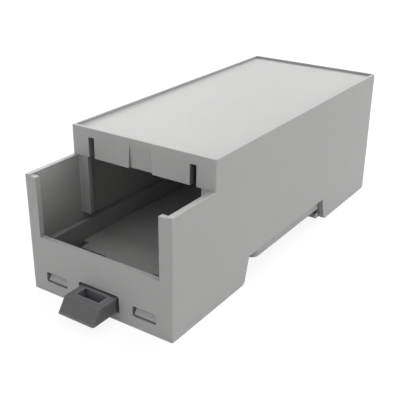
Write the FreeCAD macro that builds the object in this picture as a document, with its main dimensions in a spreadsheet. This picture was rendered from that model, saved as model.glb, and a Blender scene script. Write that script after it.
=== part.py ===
# Low profile enclosure, two modules wide, for a 35 mm top hat mounting rail.
# It comes apart into three mouldings: a hood, a tray that snaps up into the hood,
# and a rail clip that slides in the tray's front foot.
# Each one is drawn with X across the case, Y from its front end face towards the
# rear end, and Z up from the plane of the feet. Placements then bring the origin
# under the middle of the whole part, handle included.

import FreeCAD, Part
import os
import re
import Sketcher

# Driving dimensions in millimetres. Each one can be changed by itself.
SIZES = {
    # case
    "case_length": (90.0, "front end face to rear end face"),
    "case_width": (35.6, "two modules of 17.8"),
    "case_height": (32.0, "plane of the feet to the rim of the top"),
    "wall": (1.2, "wall of the hood and of the tray's feet"),
    "corner_round": (0.3, "upright outer corners"),
    "edge_round": (0.2, "outer edges of the tops"),
    # open terminal bay at the front
    "bay_depth": (13.9, "front end face to the raised front wall"),
    "bay_height": (25.6, "side walls beside the bay"),
    "sill_height": (12.4, "lower edge of the mouth"),
    "jamb_width": (2.86, "case side to the side of the mouth"),
    "jamb_drop": (0.25, "jamb top below the side wall top"),
    # raised front wall
    "guard_slot_inset": (4.4, "case side to the slot for a terminal guard"),
    "guard_slot_width": (1.5, "width of that slot"),
    "guard_slot_height": (4.4, "lower edge of the wall to the top of the slot"),
    "thumb_width": (6.1, "thumb scoop at the lower edge"),
    "thumb_taper": (0.5, "narrowing of the scoop on each side"),
    "thumb_height": (5.4, "height of the scoop"),
    "thumb_depth": (0.65, "depth of the scoop at the lower edge"),
    # label panel in the top
    "panel_rim": (0.6, "rim round the panel"),
    "panel_depth": (0.55, "panel below the rim"),
    # board
    "board_thickness": (1.6, "circuit board that the case is made for"),
    "board_play": (0.1, "play above the board"),
    "ledge_height": (10.5, "board seat above the feet"),
    "ledge_width": (1.3, "tray side wall, whose top carries the board"),
    "ledge_inset": (2.7, "end of the tray to the end of its side walls"),
    "pillar_width": (2.3, "hold down pillar, out from the side wall"),
    "pillar_thickness": (0.95, "hold down pillar, along the case"),
    "pillar_setback": (0.4, "front pillar behind the raised wall's face"),
    "pillar_rear_gap": (12.0, "last pillar to the rear wall"),
    "pillar_fillet": (0.4, "pillar to side wall"),
    "pillar_pairs": (3, "pairs of pillars along the case"),
    # rail
    "rail_center": (46.0, "front end face to the rail's centre line"),
    "rail_width": (35.0, "rail from edge to edge"),
    "rail_thickness": (1.0, "sheet of the rail"),
    "rail_play": (0.1, "play under the flange"),
    "rail_edge_play": (0.25, "play beside the flange"),
    "rail_seat": (2.95, "front face of the rail above the feet"),
    "rail_recess": (6.0, "lower edge of the hood over the rail"),
    "front_foot_gap": (2.7, "front foot to the rail"),
    "rear_foot_gap": (1.3, "rear foot to the rail"),
    "foot_lean": (1.65, "slope of the feet's inner edges"),
    "foot_round": (1.2, "lower corners of the feet"),
    "seat_setback": (3.5, "front edge of the rail to the seat"),
    "seat_round": (1.8, "upright corners of the seat"),
    "seat_cells": (4, "hollows along the underside of the seat"),
    "hook_grip": (1.2, "fixed hook under the rear flange"),
    "hook_lead": (0.6, "chamfer of the hook's nose"),
    "hook_root": (1.5, "thickness of the hook's root"),
    # tray
    "fit_gap": (0.1, "tray to hood"),
    "tray_lift": (0.5, "underside of the tray above the feet"),
    "floor_thickness": (1.2, "floor of the tray"),
    "foot_setback": (0.3, "tray behind the sloped edge of the side walls"),
    # snap latches at both ends
    "latch_inset": (3.8, "case side to the latch window"),
    "latch_width": (5.6, "latch window"),
    "latch_sill": (2.5, "lower edge of the window above the feet"),
    "latch_height": (2.3, "height of the window"),
    "latch_round": (0.5, "corners of the window and of the clip slot"),
    "latch_gap": (0.3, "lug to window"),
    "lug_land": (0.3, "upright part of the lug above its catch"),
    "lug_lead": (0.9, "slope of the lug, front to back"),
    "arm_thickness": (1.2, "latch arm"),
    "latch_bay_depth": (8.5, "opening round the arm, from the tray's end"),
    "latch_bay_inset": (4.4, "case side to that opening"),
    "slit_depth": (11.1, "relief slit beside it, from the tray's end"),
    # rail clip
    "clip_width": (9.2, "across"),
    "clip_height": (3.05, "bar of the clip"),
    "clip_bottom": (2.0, "underside of the bar above the feet"),
    "clip_play": (0.15, "play of the bar in the tray"),
    "clip_slot_play": (0.5, "play beside and above the bar in the hood"),
    "channel_wall": (1.5, "walls beside the bar"),
    "clip_grip": (2.5, "clip under the front flange"),
    "clip_release": (0.5, "travel beyond the grip"),
    "clip_jaw_lead": (0.3, "upper jaw ahead of the lower one"),
    "clip_heel": (2.2, "thickness behind the jaws"),
    "clip_ramp": (1.4, "lead in under the lower jaw, along"),
    "clip_ramp_height": (0.9, "lead in under the lower jaw, up"),
    "handle_reach": (6.9, "handle ahead of the front end face"),
    "handle_slant": (2.15, "slope of the handle's face"),
    "handle_round": (0.45, "edges of the handle, but for the lower ones"),
    "driver_width": (5.8, "pocket for a screwdriver, across"),
    "driver_length": (2.8, "pocket for a screwdriver, along"),
    "driver_inset": (0.4, "front end face to the pocket"),
    "driver_depth": (2.2, "pocket for a screwdriver, down"),
    "tongue_length": (11.0, "spring tongue"),
    "tongue_thickness": (1.0, "spring tongue"),
    "tongue_slot": (1.1, "slot inside the tongue"),
    "tongue_tip": (9.0, "front end face to the tip of the tongue"),
    "barb_height": (0.75, "barb out from the bar"),
    "barb_land": (0.5, "flat top of the barb"),
    "barb_length": (2.2, "barb along the bar"),
}

# Values that follow from the driving dimensions, as formulas of the same sheet.
FORMULAS = {
    "half_width": "case_width / 2",
    "inner_half": "half_width - wall",
    "roof_underside": "case_height - panel_depth - wall",
    "mouth_half": "half_width - jamb_width",
    "rail_front": "rail_center - rail_width / 2",
    "rail_rear": "rail_center + rail_width / 2",
    "front_foot_end": "rail_front - front_foot_gap",
    "rear_foot_start": "rail_rear + rear_foot_gap",
    "lip_top": "rail_seat - rail_thickness - rail_play",
    "tray_half": "inner_half - fit_gap",
    "tray_front": "wall + fit_gap",
    "tray_rear": "case_length - tray_front",
    "clip_half": "clip_width / 2",
    "bed_top": "clip_bottom - clip_play",
    "floor_underside": "clip_bottom + clip_height + clip_play",
    "floor_top": "floor_underside + floor_thickness",
    "channel_half": "clip_half + clip_play",
    "web_half": "channel_half + channel_wall",
    "pillar_bottom": "ledge_height + board_thickness + board_play",
    "pillar_front": "bay_depth + pillar_setback",
    "pillar_end": "case_length - wall - pillar_rear_gap",
    "pillar_span": "pillar_end - pillar_thickness - pillar_front",
    "seat_front": "rail_front + seat_setback",
    "hook_slot": "rail_rear + rail_edge_play",
    "hook_tip": "rail_rear - hook_grip",
    "latch_outer": "half_width - latch_inset",
    "latch_inner": "latch_outer - latch_width",
    "latch_top": "latch_sill + latch_height",
    "slit_inner": "half_width - latch_bay_inset",
    "slit_outer": "tray_half - ledge_width",
    "clip_travel": "clip_grip + clip_release",
    "jaw_slot": "rail_front - rail_edge_play",
    "jaw_tip": "rail_front + clip_grip",
    "heel_front": "jaw_slot - clip_heel",
    "well_front": "heel_front - clip_travel - clip_play",
    "seat_cell_pitch": "(hook_slot - wall - seat_front) / seat_cells",
    "thumb_tilt": "atan(thumb_depth / thumb_height)",
}

BOTH_SIDES = (1, -1)
FRONT_AND_REAR = (False, True)
DIRECTIONS = {
    "x": FreeCAD.Vector(1, 0, 0),
    "y": FreeCAD.Vector(0, 1, 0),
    "z": FreeCAD.Vector(0, 0, 1),
}
# Lengths and directions that differ by less than these are the same.
CLOSE = 0.01
PARALLEL = 0.001

doc = FreeCAD.newDocument("RailEnclosure")
sheet = doc.addObject("Spreadsheet::Sheet", "Sizes")


def fill_sheet():
    """Write the driving dimensions, then the formulas, one row each."""
    sheet.set("A1", "name")
    sheet.set("B1", "value")
    sheet.set("C1", "meaning")
    row = 1
    for name, (size, meaning) in SIZES.items():
        row += 1
        sheet.set("A%d" % row, name)
        sheet.set("B%d" % row, str(size))
        sheet.setAlias("B%d" % row, name)
        sheet.set("C%d" % row, meaning)
    for name, formula in FORMULAS.items():
        row += 1
        sheet.set("A%d" % row, name)
        sheet.set("B%d" % row, "=" + formula)
        sheet.setAlias("B%d" % row, name)
    doc.recompute()


def bound(expression):
    """Turn the names in an expression into references to the sheet's cells."""

    def cell(match):
        word = match.group(0)
        known = word in SIZES or word in FORMULAS
        return "Sizes." + word if known else word

    return re.sub("[a-z_]+", cell, expression)


def value(expression):
    """Work an expression out to a plain number."""
    result = sheet.evalExpression(bound(expression))
    return float(getattr(result, "Value", result))


def new_body(label):
    """Start a piece in the case's own frame, shifted under the middle of the part."""
    body = doc.addObject("PartDesign::Body", label)
    body.Label = label
    body.setExpression("Placement.Base.y", bound("(handle_reach - case_length) / 2"))
    return body


def sketch_on(body, name, plane, raised="0"):
    """Attach a sketch to one of the body's origin planes, raised along its normal."""
    sketch = body.newObject("Sketcher::SketchObject", body.Label + "_" + name)
    support = [item for item in body.Origin.OriginFeatures if item.Role == plane]
    sketch.AttachmentSupport = [(support[0], "")]
    sketch.MapMode = "FlatFace"
    sketch.setExpression("AttachmentOffset.Base.z", bound(raised))
    return sketch


def pin(sketch, kind, edge, expression):
    """Hold the start of an edge at a bound distance from the sketch's origin."""
    constraint = Sketcher.Constraint(kind, -1, 1, edge, 1, value(expression))
    number = sketch.addConstraint(constraint)
    name = "%s_%d" % (kind, edge)
    sketch.renameConstraint(number, name)
    sketch.setExpression("Constraints." + name, bound(expression))


def outline(sketch, corners):
    """Draw a closed outline through corners given as pairs of expressions.

    Level and upright edges are constrained as such, so each size is set only once.
    """
    points = [FreeCAD.Vector(value(across), value(up), 0) for across, up in corners]
    first = sketch.GeometryCount
    count = len(corners)
    for index in range(count):
        edge = Part.LineSegment(points[index], points[(index + 1) % count])
        sketch.addGeometry(edge, False)
    for index in range(count):
        following = (index + 1) % count
        edge = first + index
        sketch.addConstraint(Sketcher.Constraint("Coincident", edge, 2, first + following, 1))
        if corners[index][0] == corners[following][0]:
            sketch.addConstraint(Sketcher.Constraint("Vertical", edge))
        if corners[index][1] == corners[following][1]:
            sketch.addConstraint(Sketcher.Constraint("Horizontal", edge))
        for axis, kind in enumerate(("DistanceX", "DistanceY")):
            if corners[index][axis] != corners[index - 1][axis]:
                pin(sketch, kind, edge, corners[index][axis])


def rectangle(sketch, left, right, low, high):
    """Draw a rectangle between four expressions."""
    outline(sketch, [(left, low), (right, low), (right, high), (left, high)])


def side_of(side, expression):
    """Give a distance from the middle plane on the right (1) or the left (-1)."""
    return expression if side > 0 else "-(" + expression + ")"


def from_end(rear, expression):
    """Give a distance from the front end face, or the same one from the rear end face."""
    return "case_length - (" + expression + ")" if rear else expression


def extrude(kind, sketch, length, symmetric=False, backwards=False):
    """Pad or pocket a sketch by a bound length, and see that the solid followed."""
    body = sketch.getParentGeoFeatureGroup()
    before = 0 if body.Shape.isNull() else body.Shape.Volume
    feature = body.newObject("PartDesign::" + kind, sketch.Name + "_" + kind.lower())
    feature.Profile = sketch
    feature.setExpression("Length", bound(length))
    feature.SideType = "Symmetric" if symmetric else "One side"
    feature.Reversed = backwards
    doc.recompute()
    change = body.Shape.Volume - before
    if kind == "Pocket":
        change = -change
    if change < CLOSE:
        raise ValueError(feature.Name + " changed the solid by %.3f" % change)
    return feature


def pad(sketch, length, **options):
    """Add material."""
    return extrude("Pad", sketch, length, **options)


def pocket(sketch, length, **options):
    """Take material away."""
    return extrude("Pocket", sketch, length, **options)


def repeat_along(feature, length, count):
    """Repeat a feature along the case, over a bound length."""
    body = feature.getParentGeoFeatureGroup()
    axis = [item for item in body.Origin.OriginFeatures if item.Role == "Y_Axis"]
    pattern = body.newObject("PartDesign::LinearPattern", feature.Name + "_row")
    pattern.Originals = [feature]
    pattern.Direction = (axis[0], [""])
    pattern.setExpression("Length", bound(length))
    pattern.setExpression("Occurrences", bound(count))
    body.Tip = pattern
    doc.recompute()
    return pattern


def edges_along(body, direction, places):
    """Name the straight edges along x, y, z or a vector whose middle is at one of the places.

    A place is three expressions, each of which may be a pair, its lowest and highest value.
    """
    run = FreeCAD.Vector(DIRECTIONS.get(direction, direction)).normalize()
    spots = []
    for place in places:
        spans = [part if isinstance(part, tuple) else (part, part) for part in place]
        spots.append([(value(low) - CLOSE, value(high) + CLOSE) for low, high in spans])
    names = []
    for number, edge in enumerate(body.Tip.Shape.Edges, 1):
        if edge.Curve.TypeId != "Part::GeomLine" or edge.Curve.Direction.cross(run).Length > PARALLEL:
            continue
        middle = edge.CenterOfMass
        for spans in spots:
            if all(low <= at <= high for (low, high), at in zip(spans, middle)):
                names.append("Edge%d" % number)
                break
    return names


def dress(kind, body, name, edges, size):
    """Round or chamfer edges by a bound size."""
    if not edges:
        raise ValueError(name + " found no edge on " + body.Label)
    base = body.Tip
    feature = body.newObject("PartDesign::" + kind, body.Label + "_" + name)
    feature.Base = (base, edges)
    feature.setExpression("Radius" if kind == "Fillet" else "Size", bound(size))
    doc.recompute()
    return feature


def make_hood():
    """The one piece hood: side walls, roof, both end walls, open below."""
    hood = new_body("hood")

    profile = sketch_on(hood, "profile", "YZ_Plane")
    outline(profile, [
        ("0", "0"),
        ("front_foot_end", "0"),
        ("front_foot_end + foot_lean", "rail_recess"),
        ("rear_foot_start - foot_lean", "rail_recess"),
        ("rear_foot_start", "0"),
        ("case_length", "0"),
        ("case_length", "case_height"),
        ("bay_depth", "case_height"),
        ("bay_depth", "bay_height"),
        ("0", "bay_height"),
    ])
    pad(profile, "case_width", symmetric=True)
    round_hood_corners(hood)

    cavity = sketch_on(hood, "cavity", "YZ_Plane")
    outline(cavity, [
        ("wall", "-wall"),
        ("case_length - wall", "-wall"),
        ("case_length - wall", "roof_underside"),
        ("bay_depth + wall", "roof_underside"),
        ("bay_depth + wall", "bay_height"),
        ("bay_depth", "bay_height"),
        ("bay_depth", "case_height"),
        ("wall", "case_height"),
    ])
    pocket(cavity, "2 * inner_half", symmetric=True)

    cut_mouth(hood)
    cut_front_wall(hood)
    cut_windows(hood)
    add_pillars(hood)
    cut_panel(hood)
    return hood


def round_hood_corners(hood):
    """Round the outer corners and rims while the hood is still a plain block."""
    upright = edges_along(hood, "z", [
        (side_of(side, "half_width"), along, ("0", "case_height"))
        for side in BOTH_SIDES for along in ("0", "bay_depth", "case_length")
    ])
    dress("Fillet", hood, "corners", upright, "corner_round")
    low_rims = edges_along(hood, "y", [
        (side_of(side, "half_width"), ("0", "bay_depth"), "bay_height") for side in BOTH_SIDES
    ])
    dress("Fillet", hood, "low_rims", low_rims, "edge_round")
    top_rim = edges_along(hood, "x", [
        ("0", along, "case_height") for along in ("bay_depth", "case_length")
    ])
    dress("Fillet", hood, "top_rim", top_rim, "edge_round")
    feet = edges_along(hood, "x", [
        ("0", along, "0") for along in ("front_foot_end", "rear_foot_start")
    ])
    dress("Fillet", hood, "feet", feet, "foot_round")


def cut_mouth(hood):
    """Open the front wall between two jambs, whose tops stay just under the side walls."""
    mouth = sketch_on(hood, "mouth", "XZ_Plane")
    outline(mouth, [
        ("-mouth_half", "sill_height"),
        ("mouth_half", "sill_height"),
        ("mouth_half", "bay_height - jamb_drop"),
        ("inner_half", "bay_height - jamb_drop"),
        ("inner_half", "bay_height + wall"),
        ("-inner_half", "bay_height + wall"),
        ("-inner_half", "bay_height - jamb_drop"),
        ("-mouth_half", "bay_height - jamb_drop"),
    ])
    pocket(mouth, "2 * wall")


def cut_front_wall(hood):
    """Slots that hold a terminal guard, and the scoop for the thumb that frees it."""
    slots = sketch_on(hood, "guard_slots", "XZ_Plane", "-bay_depth")
    for side in BOTH_SIDES:
        outer = side_of(side, "half_width - guard_slot_inset")
        inner = side_of(side, "half_width - guard_slot_inset - guard_slot_width")
        rectangle(slots, inner, outer, "bay_height - wall", "bay_height + guard_slot_height")
    pocket(slots, "2 * wall")

    scoop = sketch_on(hood, "thumb_scoop", "XZ_Plane")
    scoop.setExpression("AttachmentOffset.Base.y", bound("bay_height + thumb_height"))
    scoop.setExpression("AttachmentOffset.Base.z", bound("-bay_depth"))
    scoop.setExpression("AttachmentOffset.Rotation.Angle", bound("thumb_tilt"))
    scoop.AttachmentOffset.Rotation = FreeCAD.Rotation(FreeCAD.Vector(1, 0, 0), 1)
    foot = "-thumb_height / cos(thumb_tilt) - wall"
    outline(scoop, [
        ("-thumb_width / 2", foot),
        ("thumb_width / 2", foot),
        ("thumb_width / 2 - thumb_taper", "0"),
        ("thumb_taper - thumb_width / 2", "0"),
    ])
    pocket(scoop, "2 * wall", backwards=True)


def cut_windows(hood):
    """Latch windows in both end walls, and the slot that the clip comes out of."""
    for rear in FRONT_AND_REAR:
        name = "rear_windows" if rear else "front_windows"
        windows = sketch_on(hood, name, "XZ_Plane", "-(" + from_end(rear, "0") + ")")
        for side in BOTH_SIDES:
            inner = side_of(side, "latch_inner")
            outer = side_of(side, "latch_outer")
            rectangle(windows, inner, outer, "latch_sill", "latch_top")
        pocket(windows, "1.5 * wall", backwards=rear)

    slot = sketch_on(hood, "clip_slot", "XZ_Plane")
    slot_half = "clip_half + clip_slot_play"
    slot_top = "clip_bottom + clip_height + clip_slot_play"
    rectangle(slot, "-(" + slot_half + ")", slot_half, "bed_top", slot_top)
    pocket(slot, "1.5 * wall")

    corners = [
        (side_of(side, across), from_end(rear, "wall / 2"), up)
        for rear in FRONT_AND_REAR for side in BOTH_SIDES
        for across in ("latch_inner", "latch_outer") for up in ("latch_sill", "latch_top")
    ]
    corners += [(side_of(side, slot_half), "wall / 2", slot_top) for side in BOTH_SIDES]
    dress("Fillet", hood, "window_corners", edges_along(hood, "y", corners), "latch_round")


def add_pillars(hood):
    """Pillars that hold the board down on the tray, from behind the raised wall to the rear."""
    pillars = sketch_on(hood, "pillars", "XY_Plane", "pillar_bottom")
    for side in BOTH_SIDES:
        inner = side_of(side, "inner_half - pillar_width")
        outer = side_of(side, "half_width - wall / 2")
        rectangle(pillars, inner, outer, "pillar_front", "pillar_front + pillar_thickness")
    feature = pad(pillars, "case_height - pillar_bottom - panel_depth - wall / 2")
    repeat_along(feature, "pillar_span", "pillar_pairs")
    roots = edges_along(hood, "z", [
        (side_of(side, "inner_half"), ("pillar_front", "pillar_end"), ("pillar_bottom", "case_height"))
        for side in BOTH_SIDES
    ])
    dress("Fillet", hood, "pillar_roots", roots, "pillar_fillet")


def cut_panel(hood):
    """The shallow panel in the top that takes a label."""
    panel = sketch_on(hood, "panel", "XY_Plane", "case_height")
    rectangle(panel, "panel_rim - half_width", "half_width - panel_rim",
              "bay_depth + panel_rim", "case_length - panel_rim")
    pocket(panel, "panel_depth")


def make_tray():
    """The tray: floor, board ledges, two feet, rail seat, fixed hook and latch arms."""
    tray = new_body("tray")

    def slope(height):
        """Inner face of the front foot at a height, behind the edge of the hood's foot."""
        return "front_foot_end - foot_setback + foot_lean * " + height + " / rail_recess"

    profile = sketch_on(tray, "profile", "YZ_Plane")
    outline(profile, [
        ("tray_front", "tray_lift"),
        (slope("tray_lift"), "tray_lift"),
        (slope("floor_underside"), "floor_underside"),
        ("seat_front", "floor_underside"),
        ("seat_front", "rail_seat"),
        ("hook_slot", "rail_seat"),
        ("hook_slot", "lip_top"),
        ("hook_tip", "lip_top"),
        ("hook_tip", "tray_lift + hook_lead"),
        ("hook_tip + hook_lead", "tray_lift"),
        ("tray_rear", "tray_lift"),
        ("tray_rear", "floor_top"),
        ("tray_front", "floor_top"),
    ])
    pad(profile, "2 * tray_half", symmetric=True)
    dress("Fillet", tray, "seat_corners", edges_along(tray, "z", [
        (side_of(side, "tray_half"), "seat_front", ("rail_seat", "floor_underside")) for side in BOTH_SIDES
    ]), "seat_round")

    ledges = sketch_on(tray, "ledges", "XY_Plane", "floor_top")
    for side in BOTH_SIDES:
        rectangle(ledges, side_of(side, "tray_half - ledge_width"), side_of(side, "tray_half"),
                  "tray_front + ledge_inset", "tray_rear - ledge_inset")
    pad(ledges, "ledge_height - floor_top")

    hollow_seat(tray)
    for rear in FRONT_AND_REAR:
        hollow_foot(tray, rear)
        cut_latch_bays(tray, rear)
        for side in BOTH_SIDES:
            add_latch_arm(tray, rear, side)
    hollow_rear_middle(tray)
    cut_channel(tray)
    return tray


def hollow_seat(tray):
    """A row of hollows under the seat, so that the rail bears on thin ribs."""
    cells = sketch_on(tray, "seat_cells", "XY_Plane", "rail_seat")
    for side in BOTH_SIDES:
        inner = side_of(side, "wall / 2")
        outer = side_of(side, "tray_half - wall")
        rectangle(cells, inner, outer, "seat_front + wall", "seat_front + seat_cell_pitch")
    feature = pocket(cells, "floor_underside - rail_seat", backwards=True)
    repeat_along(feature, "seat_cell_pitch * (seat_cells - 1)", "seat_cells")


def hollow_foot(tray, rear):
    """Hollow a foot from below beside its middle, and leave a wall round the latch bay."""
    name = "rear_foot" if rear else "front_foot"
    hollow = sketch_on(tray, name, "XY_Plane", "tray_lift")
    inner_end = "hook_slot + hook_root" if rear else "front_foot_end - foot_setback - wall"
    shallow = from_end(rear, "tray_front + latch_bay_depth + wall")
    deep = from_end(rear, "tray_front + slit_depth + wall")
    for side in BOTH_SIDES:
        middle = side_of(side, "web_half")
        step = side_of(side, "slit_inner - wall")
        outer = side_of(side, "tray_half - wall")
        outline(hollow, [
            (middle, shallow),
            (step, shallow),
            (step, deep),
            (outer, deep),
            (outer, inner_end),
            (middle, inner_end),
        ])
    pocket(hollow, "floor_underside - tray_lift", backwards=True)


def cut_latch_bays(tray, rear):
    """Open the floor round the latch arms, down to the plate that they stand on."""
    name = "rear_bays" if rear else "front_bays"
    bays = sketch_on(tray, name, "XY_Plane", "floor_top")
    end = from_end(rear, "0")
    shallow = from_end(rear, "tray_front + latch_bay_depth")
    deep = from_end(rear, "tray_front + slit_depth")
    for side in BOTH_SIDES:
        middle = side_of(side, "web_half")
        step = side_of(side, "slit_inner")
        outer = side_of(side, "slit_outer")
        outline(bays, [
            (middle, end),
            (outer, end),
            (outer, deep),
            (step, deep),
            (step, shallow),
            (middle, shallow),
        ])
    pocket(bays, "floor_top - bed_top")


def add_latch_arm(tray, rear, side):
    """A latch arm that stands on the foot's plate, with a lug that fills its window."""
    name = "%s_%s_arm" % ("rear" if rear else "front", "right" if side > 0 else "left")
    arm = sketch_on(tray, name, "YZ_Plane", side_of(side, "latch_inner + latch_gap"))
    catch = "latch_sill + latch_gap"
    lead = "latch_top - latch_gap"
    face = "latch_gap"
    outline(arm, [
        (from_end(rear, "tray_front"), "tray_lift"),
        (from_end(rear, "tray_front"), catch),
        (from_end(rear, face), catch),
        (from_end(rear, face), catch + " + lug_land"),
        (from_end(rear, face + " + lug_lead"), lead),
        (from_end(rear, "tray_front"), lead),
        (from_end(rear, "tray_front"), "floor_top"),
        (from_end(rear, "tray_front + arm_thickness"), "floor_top"),
        (from_end(rear, "tray_front + arm_thickness"), "tray_lift"),
    ])
    pad(arm, "latch_width - 2 * latch_gap", backwards=side < 0)


def hollow_rear_middle(tray):
    """Hollow the rear foot between its two long ribs."""
    middle = sketch_on(tray, "rear_middle", "XY_Plane", "tray_lift")
    rectangle(middle, "wall - web_half", "web_half - wall", "hook_slot + hook_root", "tray_rear - wall")
    pocket(middle, "floor_underside - tray_lift", backwards=True)


def cut_channel(tray):
    """The clip's channel through the front foot, with bearing ribs ahead of the seat."""
    ribs = sketch_on(tray, "bearing_ribs", "XY_Plane", "rail_seat")
    rectangle(ribs, "-web_half", "web_half", "front_foot_end - wall", "seat_front + wall")
    pad(ribs, "floor_underside - rail_seat")

    channel = sketch_on(tray, "channel", "XZ_Plane")
    rectangle(channel, "-channel_half", "channel_half", "bed_top", "floor_underside")
    pocket(channel, "seat_front")

    well = sketch_on(tray, "clip_well", "XY_Plane")
    rectangle(well, "-channel_half", "channel_half", "well_front", "seat_front")
    pocket(well, "floor_underside", backwards=True)

    windows = sketch_on(tray, "barb_windows", "YZ_Plane")
    rectangle(windows, "tongue_tip - clip_travel - clip_play", "tongue_tip + barb_length + clip_play",
              "bed_top", "floor_underside")
    pocket(windows, "2 * web_half", symmetric=True)


def make_clip():
    """The rail clip: a bar with a handle, two sprung tongues with barbs, and the jaws."""
    clip = new_body("rail_clip")

    profile = sketch_on(clip, "profile", "YZ_Plane")
    bar_top = "clip_bottom + clip_height"
    outline(profile, [
        ("-handle_reach", "clip_bottom"),
        ("heel_front", "clip_bottom"),
        ("heel_front", "tray_lift"),
        ("jaw_tip - clip_ramp", "tray_lift"),
        ("jaw_tip", "tray_lift + clip_ramp_height"),
        ("jaw_tip", "lip_top"),
        ("jaw_slot", "lip_top"),
        ("jaw_slot", "rail_seat"),
        ("jaw_tip + clip_jaw_lead", "rail_seat"),
        ("jaw_tip + clip_jaw_lead", bar_top),
        ("handle_slant - handle_reach", bar_top),
    ])
    pad(profile, "clip_width", symmetric=True)

    flanks = [side_of(side, "clip_half") for side in BOTH_SIDES]
    rims = edges_along(clip, "x", [("0", "handle_slant - handle_reach", bar_top)])
    rims += edges_along(clip, "y", [(flank, ("-handle_reach", "jaw_tip"), bar_top) for flank in flanks])
    slant = (0, value("handle_slant"), value("clip_height"))
    rims += edges_along(clip, slant, [
        (flank, "handle_slant / 2 - handle_reach", "clip_bottom + clip_height / 2") for flank in flanks
    ])
    dress("Fillet", clip, "handle_rims", rims, "handle_round")

    pocket_top = sketch_on(clip, "driver_pocket", "XY_Plane", bar_top)
    rectangle(pocket_top, "-driver_width / 2", "driver_width / 2",
              "-driver_inset - driver_length", "-driver_inset")
    pocket(pocket_top, "driver_depth")

    slots = sketch_on(clip, "tongue_slots", "XY_Plane", bar_top)
    for side in BOTH_SIDES:
        root = side_of(side, "clip_half - tongue_thickness - tongue_slot")
        tongue = side_of(side, "clip_half - tongue_thickness")
        outside = side_of(side, "clip_half + tongue_slot")
        outline(slots, [
            (root, "tongue_tip - tongue_slot"),
            (outside, "tongue_tip - tongue_slot"),
            (outside, "tongue_tip"),
            (tongue, "tongue_tip"),
            (tongue, "tongue_tip + tongue_length"),
            (root, "tongue_tip + tongue_length"),
        ])
    pocket(slots, "clip_height + clip_bottom")

    barbs = sketch_on(clip, "barbs", "XY_Plane", "clip_bottom")
    for side in BOTH_SIDES:
        flank = side_of(side, "clip_half")
        crest = side_of(side, "clip_half + barb_height")
        outline(barbs, [
            (side_of(side, "clip_half - tongue_thickness / 2"), "tongue_tip"),
            (crest, "tongue_tip"),
            (crest, "tongue_tip + barb_land"),
            (flank, "tongue_tip + barb_length"),
            (side_of(side, "clip_half - tongue_thickness / 2"), "tongue_tip + barb_length"),
        ])
    pad(barbs, "clip_height")
    return clip


def write_pieces(pieces):
    """Check every object of the document, then write one file for each piece."""
    doc.recompute()
    for item in doc.Objects:
        if "Invalid" in item.State or "Error" in item.State:
            raise ValueError(item.Name + " is " + ", ".join(item.State))
    for piece in pieces:
        if piece.Shape.isNull() or not piece.Shape.isValid() or len(piece.Shape.Solids) != 1:
            raise ValueError(piece.Label + " is not one valid solid")
    os.makedirs("parts", exist_ok=True)
    for piece in pieces:
        piece.Shape.exportStep("parts/" + piece.Label + ".step")
        print(piece.Label, "volume", round(piece.Shape.Volume, 1), piece.Shape.BoundBox)


fill_sheet()
write_pieces([make_hood(), make_tray(), make_clip()])
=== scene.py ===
# %% [markdown]
# A low rail-mounted housing for a small circuit board, in three mouldings: a light
# grey hood, a tray of the same plastic that snaps up into it, and a dark grey clip
# that slides under the front flange of a rail. All three shapes come from the
# engineering model and stay as they are. What this lesson adds is what a model of
# shapes leaves out: how each plastic was moulded and how it takes the light.
#
# Its box is measured at once, so that the last cell can set it beside the finished
# picture's box.

# %% Load the fixed frame
import math

import bpy
import numpy as np
from mathutils import Matrix, Vector


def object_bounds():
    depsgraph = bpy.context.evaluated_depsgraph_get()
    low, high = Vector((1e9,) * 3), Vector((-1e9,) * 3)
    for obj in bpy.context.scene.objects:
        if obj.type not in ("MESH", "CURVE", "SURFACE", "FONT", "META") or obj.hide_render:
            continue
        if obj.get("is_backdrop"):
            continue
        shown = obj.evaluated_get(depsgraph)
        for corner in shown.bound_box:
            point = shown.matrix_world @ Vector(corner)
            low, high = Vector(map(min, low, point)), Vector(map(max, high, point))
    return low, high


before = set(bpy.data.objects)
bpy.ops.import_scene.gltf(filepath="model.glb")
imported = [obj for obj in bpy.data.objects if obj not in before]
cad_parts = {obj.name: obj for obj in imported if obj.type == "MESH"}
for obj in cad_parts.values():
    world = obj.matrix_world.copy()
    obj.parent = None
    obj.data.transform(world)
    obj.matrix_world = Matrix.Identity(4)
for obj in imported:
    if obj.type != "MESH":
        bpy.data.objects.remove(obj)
model_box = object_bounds()

# Blender counts in metres here, so this is one millimetre.
MM = 0.001
box_mm = [round((high - low) / MM, 1) for low, high in zip(*model_box)]
print("pieces:", sorted(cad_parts), "in a box of", box_mm, "mm")

# %% [markdown]
# The photograph was taken with a rather long lens from in front, to the right and
# above. A camera can be placed by eye, but this one was worked out from the corners of
# the case: its place, its aim and its lens are real sizes, so the case falls where it
# does in the picture. A camera looks along its own -Z, so to_track_quat turns that
# axis to the case and keeps the picture level, and the small roll is the tilt that the
# photograph has.

# %% Set up the camera
CAMERA_PLACE = Vector((83.69, -131.11, 79.58)) * MM
LOOKS_TOWARDS = Vector((-0.50752, 0.75643, -0.41261))
CAMERA_ROLL = math.radians(0.585)
LENS_MM = 65.13
SENSOR_MM = 36.0
NEAREST_SEEN = 0.005
FARTHEST_SEEN = 10.0

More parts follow.
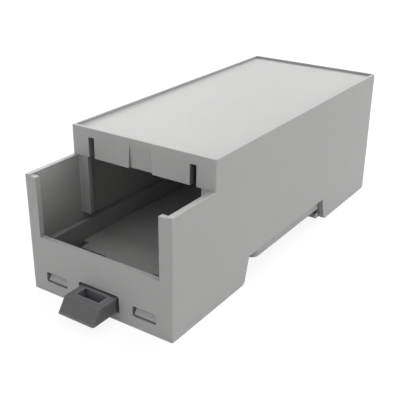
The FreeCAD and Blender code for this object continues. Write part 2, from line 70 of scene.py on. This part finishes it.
camera_data = bpy.data.cameras.new("camera")
camera_data.lens = LENS_MM
camera_data.sensor_width = SENSOR_MM
camera_data.clip_start = NEAREST_SEEN
camera_data.clip_end = FARTHEST_SEEN
camera = bpy.data.objects.new("camera", camera_data)
bpy.context.scene.collection.objects.link(camera)
level_view = LOOKS_TOWARDS.to_track_quat("-Z", "Y").to_matrix().to_4x4()
roll = Matrix.Rotation(CAMERA_ROLL, 4, "Z")
camera.matrix_world = Matrix.Translation(CAMERA_PLACE) @ level_view @ roll
bpy.context.scene.camera = camera
bpy.context.scene.view_settings.view_transform = "Standard"
print("camera looks down by", round(math.degrees(math.asin(-LOOKS_TOWARDS.z)), 1), "degrees")

# %% [markdown]
# Colours are written the way a paint chart gives them, as sRGB hex values, and the
# renderer counts in linear light. One small function turns one into the other.
# A second one adds a shader node, so that each finish below reads as a short list of
# what it is made of. It fills the sockets it is given by name, and links the rest.


# %% Turn chart colours into linear light, and add shader nodes
def linear(hex_colour):
    """Give the linear RGBA of an sRGB hex colour such as "8a8c8e".

    Each channel c of 0 to 1 becomes c / 12.92 below 0.04045, and otherwise
    ((c + 0.055) / 1.055) to the power 2.4.
    """
    channels = [int(hex_colour[place:place + 2], 16) / 255 for place in (0, 2, 4)]
    return [c / 12.92 if c <= 0.04045 else ((c + 0.055) / 1.055) ** 2.4 for c in channels] + [1.0]


def add_node(tree, kind, links=(), **settings):
    """Add one shader node with its settings, and link outputs into its inputs.

    A setting that is an input's name (with _ for a space) fills that socket, and
    any other one is a property of the node. Links are (input name, output socket),
    or (input number, output socket) where a node has two inputs of one name.
    """
    node = tree.nodes.new(kind)
    for name, value in settings.items():
        socket = node.inputs.get(name.replace("_", " "))
        if socket is not None:
            socket.default_value = value
        else:
            setattr(node, name, value)
    for name, output in links:
        tree.links.new(output, node.inputs[name])
    return node


print("a light grey of c8c8c7 is", [round(c, 3) for c in linear("c8c8c7")[:3]], "in linear light")

# %% [markdown]
# The melt cools unevenly in the mould, so a moulding's colour and its sheen both drift
# a little from place to place. An image could hold that, but noise needs no unwrapping
# and no file. It reads Object coordinates, which are metres, so a pattern of a size in
# millimetres has a scale of one over that size, and it stays put when a piece moves.
# Noise seldom leaves the middle of 0 to 1, so only that part, from the low to the high
# value below, is spread between the two ends of the drift.

# %% Let colour and sheen drift
TONE_DRIFT_MM = 14.0
TONE_DRIFT_DETAIL = 4.0
SHEEN_DRIFT_MM = 2.2
SHEEN_DRIFT_DETAIL = 3.0
NOISE_LOW = 0.3
NOISE_HIGH = 0.7


def scale_of(size_mm):
    """Give the scale of a pattern whose cells are this many millimetres."""
    return 1.0 / (size_mm * MM)


def drifting_colour(tree, place, tones):
    """Give a colour that drifts between two tones: soft noise, spread by a colour ramp."""
    drift = add_node(tree, "ShaderNodeTexNoise", [("Vector", place)],
                     Scale=scale_of(TONE_DRIFT_MM), Detail=TONE_DRIFT_DETAIL)
    ramp = add_node(tree, "ShaderNodeValToRGB", [("Fac", drift.outputs["Fac"])])
    for end, position, tone in zip(ramp.color_ramp.elements, (NOISE_LOW, NOISE_HIGH), tones):
        end.position = position
        end.color = linear(tone)
    return ramp.outputs["Color"]


def drifting_sheen(tree, place, roughness):
    """Give a roughness that drifts, in smaller patches, between its shiny and its dull end."""
    shiny, dull = roughness
    drift = add_node(tree, "ShaderNodeTexNoise", [("Vector", place)],
                     Scale=scale_of(SHEEN_DRIFT_MM), Detail=SHEEN_DRIFT_DETAIL)
    spread = add_node(tree, "ShaderNodeMapRange", [("Value", drift.outputs["Fac"])],
                      From_Min=NOISE_LOW, From_Max=NOISE_HIGH, To_Min=shiny, To_Max=dull)
    return spread.outputs["Result"]


print("colour drifts over", TONE_DRIFT_MM, "mm, at a scale of", round(scale_of(TONE_DRIFT_MM), 1))
print("sheen drifts over", SHEEN_DRIFT_MM, "mm, at a scale of", round(scale_of(SHEEN_DRIFT_MM), 1))

# %% [markdown]
# Other tones are painted light and shade that follow the shape. Pale walls throw so
# much light at each other that a deep bay looks flat, and painted shade with a reach of
# 10 or 20 mm darkens it to give it its depth. One with a reach of under 1 mm paints a
# darker shade line along seams. Above 1, the same factor paints light into a recess.
# Turned to look under the skin, it finds edges, and there it paints a pale highlight
# line on a dark plastic. Masks for all this could be painted by hand, but the Ambient
# Occlusion node measures it on any shape: it is 1 where a point is open to its
# surroundings within the reach, and nears 0 deep in a corner. A last one paints light
# on faces that look up, and that one reads the normal instead.

# %% Paint light and shade on a plastic by its shape
PLACE_SAMPLES = 12

# A normal's Z is 1 where a face looks straight up, and this where it leans by 60 degrees.
STEEP_FACING = 0.5


def painted_light_and_shade_by_place(tree, tone, reach_mm, own_walls_only=True, under_the_skin=False):
    """Give a factor of painted light and shade: 1 where no wall is in reach, near tone among walls.

    A tone below 1 paints shade there, and one above 1 paints light. It looks outwards
    for recesses and seams, or under the skin for edges that stick out: within reach of
    an edge, the face round the corner is such a wall.
    """
    open_share = add_node(tree, "ShaderNodeAmbientOcclusion", samples=PLACE_SAMPLES,
                          only_local=own_walls_only, inside=under_the_skin, Distance=reach_mm * MM)
    factor = add_node(tree, "ShaderNodeMapRange", [("Value", open_share.outputs["AO"])], To_Min=tone)
    return factor.outputs["Result"]


def painted_light_on_upper_faces(tree, tone):
    """Give a factor of painted light: tone on a face that looks straight up, 1 on a steep one or a
    wall.
    """
    own = add_node(tree, "ShaderNodeTexCoord")
    facing = add_node(tree, "ShaderNodeSeparateXYZ", [("Vector", own.outputs["Normal"])])
    factor = add_node(tree, "ShaderNodeMapRange", [("Value", facing.outputs["Z"])],
                      From_Min=STEEP_FACING, To_Min=1.0, To_Max=tone)
    return factor.outputs["Result"]


def with_painted_light_and_shade(tree, colour, painted_tones, painted_top_light):
    """Give a colour times each factor of painted light and shade, and times its painted top light if
    any.
    """
    factors = [painted_light_and_shade_by_place(tree, **painted_mark) for painted_mark in painted_tones]
    if painted_top_light is not None:
        factors.append(painted_light_on_upper_faces(tree, painted_top_light))
    # Each factor paints its light and shade straight into the base colour.
    for factor in factors:
        scaled = add_node(tree, "ShaderNodeVectorMath", [("Vector", colour), ("Scale", factor)],
                          operation="SCALE")
        colour = scaled.outputs["Vector"]
    return colour


steepest = round(math.degrees(math.acos(STEEP_FACING)))
print("faces that lean by up to", steepest, "degrees take some of the upper tone")

# %% [markdown]
# The skin of a moulding differs from its model in three small ways. Its edges aren't
# razor sharp: the model has the rounds that a hand can feel, and the Bevel node bends
# the light over a tenth of a millimetre or so on the rest. Its large walls aren't truly
# flat: a slow waviness of a hundredth of a millimetre or two keeps them from looking
# like painted glass. And the mould's steel leaves its own fine texture. All three are
# too small to be worth a finer mesh, so they bend the normal and leave the shape alone.

# %% Texture a plastic
BEVEL_SAMPLES = 6
WAVE_MM = 11.0
WAVE_DEPTH_MM = 0.015
WAVE_DETAIL = 1.0
GRAIN_DETAIL = 2.0

# Each finer layer of the grain is this strong beside the coarser one before it.
GRAIN_LAYER_SHARE = 0.6


def moulded_skin(tree, place, grain, drawn_out, soft_edge_mm):
    """Give the bent normal: soft edges, then slow waves, then the grain of the mould.

    Each Bump node takes the normal of the one before it, so the three add up. The
    grain's coordinates are multiplied by drawn_out, and below 1 that stretches the
    grain into lines along its axis.
    """
    edges = add_node(tree, "ShaderNodeBevel", samples=BEVEL_SAMPLES, Radius=soft_edge_mm * MM)
    waves = add_node(tree, "ShaderNodeTexNoise", [("Vector", place)],
                     Scale=scale_of(WAVE_MM), Detail=WAVE_DETAIL)
    wavy = add_node(tree, "ShaderNodeBump",
                    [("Height", waves.outputs["Fac"]), ("Normal", edges.outputs["Normal"])],
                    Distance=WAVE_DEPTH_MM * MM)
    along = add_node(tree, "ShaderNodeMapping", [("Vector", place)], Scale=drawn_out)
    pits = add_node(tree, "ShaderNodeTexNoise", [("Vector", along.outputs["Vector"])],
                    Scale=scale_of(grain["size_mm"]), Detail=GRAIN_DETAIL,
                    Roughness=GRAIN_LAYER_SHARE)
    skin = add_node(tree, "ShaderNodeBump",
                    [("Height", pits.outputs["Fac"]), ("Normal", wavy.outputs["Normal"])],
                    Distance=grain["depth_mm"] * MM)
    return skin.outputs["Normal"]


print("walls wave by", WAVE_DEPTH_MM, "mm at most, over", WAVE_MM, "mm")

# %% [markdown]
# The three mouldings differ only in their tones, their sheen and the size of their
# texture, so one function makes the material of each. Both plastics reflect about
# alike, because their index of refraction, which sets how much light the skin throws
# back, is near 1.53. The roughness sets how widely that light is spread, from 0 on a
# mirror to 1 on chalk.

# %% Mould a plastic
PLASTIC_IOR = 1.53


def moulded_plastic(name, tones, roughness, grain, painted_tones, soft_edge_mm,
                    drawn_out=(1.0, 1.0, 1.0), painted_top_light=None):
    """Make a moulded plastic from its colours, its sheen and the texture of its skin.

    tones are the deep and pale ends of the colour drift, and roughness the shiny and
    dull ends of the drift in sheen.
    """
    material = bpy.data.materials.new(name)
    material.use_nodes = True
    tree = material.node_tree
    tree.nodes.clear()
    place = add_node(tree, "ShaderNodeTexCoord").outputs["Object"]
    colour = with_painted_light_and_shade(tree, drifting_colour(tree, place, tones), painted_tones, painted_top_light)
    surface = add_node(tree, "ShaderNodeBsdfPrincipled",
                       [("Base Color", colour),
                        ("Roughness", drifting_sheen(tree, place, roughness)),
                        ("Normal", moulded_skin(tree, place, grain, drawn_out, soft_edge_mm))],
                       IOR=PLASTIC_IOR)
    add_node(tree, "ShaderNodeOutputMaterial", [("Surface", surface.outputs["BSDF"])])
    return material


def finish(name, material):
    """Give a node of the frame its material, and say so."""
    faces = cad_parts[name].data
    faces.materials.clear()
    faces.materials.append(material)
    print(name, "is now", material.name, "with", len(material.node_tree.nodes), "shader nodes")


thrown_back = ((PLASTIC_IOR - 1) / (PLASTIC_IOR + 1)) ** 2
print("a plastic skin throws back", round(100 * thrown_back, 1), "% of light that meets it head on")

# %% [markdown]
# The hood is ABS in a light neutral grey. Its cavity in the mould was finished by
# spark erosion, which leaves a fine even grain of tiny pits: to the eye a dull, dry
# surface that hides fingerprints and shows no clear reflection. Plain noise stands for
# the pits, for no single one can be made out. The real grain is about 0.05 mm, too
# fine to show, so it is drawn at four times that. Painted shade darkens its bay and its
# other recesses, and only the hood's own walls count as hiding it, so it looks the
# same wherever the clip stands.

# %% Finish the hood
finish("hood", moulded_plastic(
    "spark_eroded_grey_abs", tones=("c7c7c6", "c9c9c8"), roughness=(0.54, 0.62),
    grain=dict(size_mm=0.2, depth_mm=0.008), soft_edge_mm=0.15,
    # painted shade in the bay and other recesses, down to half the colour
    painted_tones=[dict(tone=0.5, reach_mm=12.0)]))

# %% [markdown]
# The tray is the same ABS. It comes from the plain side of the mould, where the steel
# was only stoned smooth along the case, so its skin is a little shinier and has very
# faint lines that run from front to rear. They are the grain again, drawn out along Y,
# and drawn at 0.3 mm where a real stone leaves lines of a few hundredths. Painted shade
# darkens the bay within 20 mm of its walls, and a painted dark line runs along seams.
# The tray lies inside the hood, so here the walls of the other pieces count too.

# %% Finish the tray
finish("tray", moulded_plastic(
    "stoned_grey_abs", tones=("c7c7c6", "c9c9c8"), roughness=(0.46, 0.55),
    grain=dict(size_mm=0.3, depth_mm=0.006), soft_edge_mm=0.15, drawn_out=(1.0, 0.03, 1.0),
    # painted shade in the bay, then a painted dark shade line along seams
    painted_tones=[dict(tone=0.48, reach_mm=20.0, own_walls_only=False),
                 dict(tone=0.7, reach_mm=0.6, own_walls_only=False)]))

# %% [markdown]
# The clip is polyamide, the tough plastic for a spring that is bent many times. It is
# dark grey, and glass fibres lie just under its skin, so the sheen is satin and
# uneven, and the grain is coarser and softer than on the hood: real fibres are 0.2 to
# 0.4 mm long. Most of its tones are above 1: they paint light into its pocket and
# beside the case, a pale highlight line along its edges, and light on the faces that
# look up. Only its closest gaps get painted shade, such as the one over the bar where
# it enters the case.

# %% Finish the clip
finish("rail_clip", moulded_plastic(
    "moulded_dark_grey_glass_filled_polyamide", tones=("4a4a4c", "545456"), roughness=(0.42, 0.54),
    grain=dict(size_mm=0.35, depth_mm=0.012), soft_edge_mm=0.08,
    # painted light in the pocket and beside the case
    painted_tones=[dict(tone=3.2, reach_mm=6.0, own_walls_only=False),
                 # painted shade in the closest gaps
                 dict(tone=0.2, reach_mm=0.7, own_walls_only=False),
                 # a painted highlight line along the edges
                 dict(tone=2.7, reach_mm=0.5, under_the_skin=True)],
    # painted light on faces that look up
    painted_top_light=1.4))

# %% [markdown]
# The case stands on plain white paper in a white room, and the picture shows nothing
# of either. Brighter lamps would whiten them, and bleach the case as well. So a camera
# ray, or one that a surface reflects or lets through, meets pure white, and all other
# rays meet the real paper and the faint light of the room. The background is white
# then, and all that its white adds to the case is a dim reflection in the plastic. A
# Mix Shader that reads the Light Path node makes that choice, and one function builds
# it for both.

# %% Tell the camera's rays from the others
RAYS_THAT_MEET_WHITE = ("Is Camera Ray", "Is Glossy Ray", "Is Transmission Ray")


def seen_directly(tree):
    """Give the output that is 1 for each kind of ray that meets white, and 0 for the rest."""
    rays = add_node(tree, "ShaderNodeLightPath")
    seen, *others = [rays.outputs[kind] for kind in RAYS_THAT_MEET_WHITE]
    for other in others:
        either = add_node(tree, "ShaderNodeMath", [(0, seen), (1, other)], operation="MAXIMUM")
        seen = either.outputs["Value"]
    return seen


def two_faced(tree, output_kind, for_the_case, for_the_eye):
    """Mix two shaders by what kind of ray meets them, and send them to an output node."""
    choice = add_node(tree, "ShaderNodeMixShader",
                      [("Fac", seen_directly(tree)), (1, for_the_case), (2, for_the_eye)])
    add_node(tree, output_kind, [("Surface", choice.outputs["Shader"])])


print("white is for:", ", ".join(RAYS_THAT_MEET_WHITE))

# %% [markdown]
# To the lamps and the case, the paper is a plain light grey sheet. To the camera, most
# of its white is its own, and the rest is a true surface that takes the shadow of the
# case, which leaves that shadow as faint as in a light tent. The two add up to a little
# over white, so open paper is pure white and only the deeper half of a shadow shows.
# The paper lies a hair below the feet, since two faces in one plane would flicker. It
# casts no shadow, for nothing lies under it, and so the recess tones don't take it for
# a wall either. It is a flat grid of two by two points, laid out with numpy.

# %% Lay the paper
PAPER_HALF_SIDE = 0.6
PAPER_BELOW_MM = 0.02
PAPER_FOR_THE_CASE = "c3c3c3"
PAPER_SHADOW_SHARE = 0.22
PAPER_OWN_WHITE = 1.0 - PAPER_SHADOW_SHARE / 2

side = np.array([-PAPER_HALF_SIDE, PAPER_HALF_SIDE])
across, along = np.meshgrid(side, side)
level = np.full((2, 2), -PAPER_BELOW_MM * MM)
corners = np.stack([across, along, level], axis=-1).reshape(4, 3)
paper_mesh = bpy.data.meshes.new("paper")
paper_mesh.from_pydata(corners.tolist(), [], [(0, 1, 3, 2)])
paper = bpy.data.objects.new("paper", paper_mesh)
bpy.context.scene.collection.objects.link(paper)
paper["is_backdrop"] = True
paper.visible_shadow = False

white_paper = bpy.data.materials.new("white_paper")
white_paper.use_nodes = True
tree = white_paper.node_tree
tree.nodes.clear()
plain = add_node(tree, "ShaderNodeBsdfDiffuse", Color=linear(PAPER_FOR_THE_CASE))
shaded = add_node(tree, "ShaderNodeBsdfDiffuse", Color=[PAPER_SHADOW_SHARE] * 3 + [1.0])
own_white = add_node(tree, "ShaderNodeEmission", Strength=PAPER_OWN_WHITE)
bright = add_node(tree, "ShaderNodeAddShader",
                  [(0, shaded.outputs["BSDF"]), (1, own_white.outputs["Emission"])])
two_faced(tree, "ShaderNodeOutputMaterial", plain.outputs["BSDF"], bright.outputs["Shader"])
paper_mesh.materials.append(white_paper)
print("paper", 2 * PAPER_HALF_SIDE, "m square,", PAPER_BELOW_MM, "mm under the feet")

# %% [markdown]
# Nearly all the light comes from lamps, and the room adds only the last few percent
# that fill the darkest corners. A picture of a studio could light it too, but one even
# strength does as well for a matt case. Its walls are pure white for the eye alone.

# %% Make the white room
ROOM_LIGHT = 0.02
WHITE = (1.0, 1.0, 1.0, 1.0)

world = bpy.data.worlds.new("white_room")
bpy.context.scene.world = world
world.use_nodes = True
tree = world.node_tree
tree.nodes.clear()
room = add_node(tree, "ShaderNodeBackground", Color=WHITE, Strength=ROOM_LIGHT)
white = add_node(tree, "ShaderNodeBackground", Color=WHITE, Strength=1.0)
two_faced(tree, "ShaderNodeOutputWorld", room.outputs["Background"], white.outputs["Background"])
print("the room lights the case with", ROOM_LIGHT, "and looks white")

# %% [markdown]
# In the photograph the top is the lightest face, the right side is a step darker, the
# front end one more, and inside the bay it is nearly dark. So most of the light comes
# down from behind, over the case, and little of it falls into the open end. The lamps
# are large softboxes, because the larger a lamp is, the softer its shadow. The case
# was first rendered under each lamp alone, and the shares are the mix whose tones come
# nearest to the photograph. A share of 1 is the light at which a surface that faces
# the lamp shows its colour as it is written, and all that reaches the top adds up to
# about 1. A lamp of P watts sends P / (pi d)^2 of radiance back from a white surface
# at d metres, so P is the share times (pi d)^2.

# %% Hang the softboxes
LAMP_DISTANCE = 1.5
SOFTBOXES = {
    "behind": dict(turn=180, up=38, wide=1.4, high=1.2, share=0.48),
    "above": dict(turn=180, up=80, wide=1.4, high=1.4, share=0.34),
    "low_right": dict(turn=105, up=14, wide=1.4, high=0.66, share=0.33),
    "low_left": dict(turn=240, up=14, wide=1.4, high=0.66, share=0.57),
    "low_front": dict(turn=345, up=14, wide=1.4, high=0.66, share=0.20),
    "high_front": dict(turn=0, up=46, wide=1.4, high=1.2, share=0.16),
}


def hang_softbox(name, turn, up, wide, high, share):
    """Hang a softbox that faces the case, and give what it adds to the light on the top.

    turn is its angle round the case from the front, towards the right, and up its
    height above the horizon, both in degrees. wide and high are its sides in metres.
    Its place is (sin turn cos up, -cos turn cos up, sin up) times its distance, and
    its own Z points outwards, because a lamp shines along its -Z.
    """
    light = bpy.data.lights.new(name, "AREA")
    light.shape = "RECTANGLE"
    light.size = wide
    light.size_y = high
    light.energy = share * (math.pi * LAMP_DISTANCE) ** 2
    turned = math.radians(turn)
    raised = math.radians(up)
    level = Vector((math.sin(turned), -math.cos(turned), 0.0))
    outwards = level * math.cos(raised) + Vector((0.0, 0.0, math.sin(raised)))
    lamp = bpy.data.objects.new(name, light)
    facing = outwards.to_track_quat("Z", "Y").to_matrix().to_4x4()
    lamp.matrix_world = Matrix.Translation(outwards * LAMP_DISTANCE) @ facing
    bpy.context.scene.collection.objects.link(lamp)
    print(name, "gives", round(light.energy, 1), "W from", [round(v, 2) for v in lamp.location], "m")
    return share * math.sin(raised)


on_the_top = sum(hang_softbox(name, **softbox) for name, softbox in SOFTBOXES.items())
print("light on the top:", round(on_the_top + ROOM_LIGHT, 2))

# %% [markdown]
# Blender must not change the size of the case, so the box of the engineering model
# and that of the finished picture are written down side by side.

# %% Write the sizes and finish
picture_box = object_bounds()
grown_mm = [round((picture - model) / MM, 3) for model, picture in zip(model_box[1], picture_box[1])]
print("the picture's far corner lies", grown_mm, "mm from the model's")
